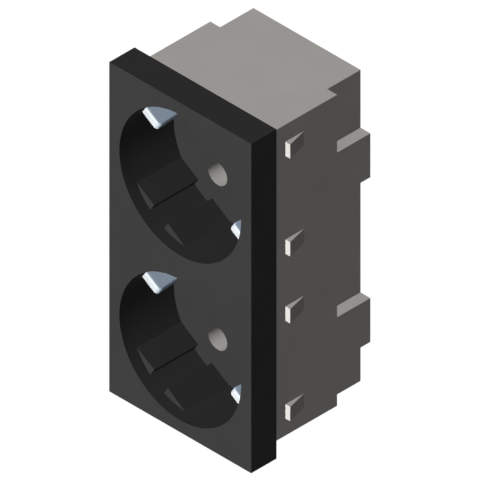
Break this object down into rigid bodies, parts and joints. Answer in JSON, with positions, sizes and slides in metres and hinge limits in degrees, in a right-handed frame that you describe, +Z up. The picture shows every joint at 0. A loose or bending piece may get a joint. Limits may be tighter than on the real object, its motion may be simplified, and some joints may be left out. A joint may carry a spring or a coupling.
{
  "type": "double socket outlet",
  "caption": "Panel socket outlet with round plug recesses one above the other, a dark front frame, a pale housing with latch wedges, sprung earth clips and rear push-in terminals.",
  "frame": {"origin": "centre of the front frame's back plane, which meets the panel", "axes": "+X to the right and +Z up as seen from the front, +Y from the front to the rear"},
  "size_m": [0.0448, 0.04, 0.09],
  "materials": {
    "cover_black": "fine satin moulding",
    "housing_grey": "smooth satin moulding",
    "carrier_grey": "smooth satin moulding",
    "block_grey": "smooth satin moulding",
    "button_black": "satin moulding",
    "clip_silver": "bright plated spring sheet",
    "contact_brass": "plain pressed sheet",
    "contact_nickel": "matt nickel plating over rolled sheet",
    "spring_steel": "rolled spring sheet",
    "screw_steel": "bright zinc plating"
  },
  "bodies": {
    "outlet": {"front_cover": "cover_black", "rear_housing": "housing_grey", "contact_carrier": "carrier_grey", "terminal_block": "block_grey", "earth_bridge": "contact_brass", "live_rail": "contact_brass", "neutral_rail": "contact_brass", "contact_rivets": "contact_brass", "housing_screws": "screw_steel", "live_contact_upper": "contact_nickel", "live_contact_lower": "contact_nickel", "neutral_contact_upper": "contact_nickel", "neutral_contact_lower": "contact_nickel", "clamp_spring_live_upper": "spring_steel", "clamp_spring_live_lower": "spring_steel", "clamp_spring_earth_upper": "spring_steel", "clamp_spring_earth_lower": "spring_steel", "clamp_spring_neutral_upper": "spring_steel", "clamp_spring_neutral_lower": "spring_steel"},
    "earth_clip_upper_left": {"earth_clip_upper_left": "clip_silver"},
    "earth_clip_upper_right": {"earth_clip_upper_right": "clip_silver"},
    "earth_clip_lower_left": {"earth_clip_lower_left": "clip_silver"},
    "earth_clip_lower_right": {"earth_clip_lower_right": "clip_silver"},
    "release_button_live": {"release_button_live": "button_black"},
    "release_button_earth": {"release_button_earth": "button_black"},
    "release_button_neutral": {"release_button_neutral": "button_black"}
  },
  "joints": [
    {"name": "earth_clip_upper_left_flex", "type": "hinge", "parent": "outlet", "child": "earth_clip_upper_left", "pos_m": [-0.01375, 0.0098, 0.03143], "axis": [-0.5446, 0, -0.8387], "range_deg": [0, 3.5], "stiffness_Nm_per_rad": 2},
    {"name": "earth_clip_upper_right_flex", "type": "hinge", "parent": "outlet", "child": "earth_clip_upper_right", "pos_m": [0.01375, 0.0098, 0.01357], "axis": [0.5446, 0, 0.8387], "range_deg": [0, 3.5], "stiffness_Nm_per_rad": 2},
    {"name": "earth_clip_lower_left_flex", "type": "hinge", "parent": "outlet", "child": "earth_clip_lower_left", "pos_m": [-0.01375, 0.0098, -0.01357], "axis": [-0.5446, 0, -0.8387], "range_deg": [0, 3.5], "stiffness_Nm_per_rad": 2},
    {"name": "earth_clip_lower_right_flex", "type": "hinge", "parent": "outlet", "child": "earth_clip_lower_right", "pos_m": [0.01375, 0.0098, -0.03143], "axis": [0.5446, 0, 0.8387], "range_deg": [0, 3.5], "stiffness_Nm_per_rad": 2},
    {"name": "release_live", "type": "slide", "parent": "outlet", "child": "release_button_live", "axis": [0, -1, 0], "range_m": [0, 0.0016], "stiffness_N_per_m": 1500, "deforming": ["clamp_spring_live_upper", "clamp_spring_live_lower"]},
    {"name": "release_earth", "type": "slide", "parent": "outlet", "child": "release_button_earth", "axis": [0, -1, 0], "range_m": [0, 0.0016], "stiffness_N_per_m": 1500, "deforming": ["clamp_spring_earth_upper", "clamp_spring_earth_lower"]},
    {"name": "release_neutral", "type": "slide", "parent": "outlet", "child": "release_button_neutral", "axis": [0, -1, 0], "range_m": [0, 0.0016], "stiffness_N_per_m": 1500, "deforming": ["clamp_spring_neutral_upper", "clamp_spring_neutral_lower"]}
  ]
}
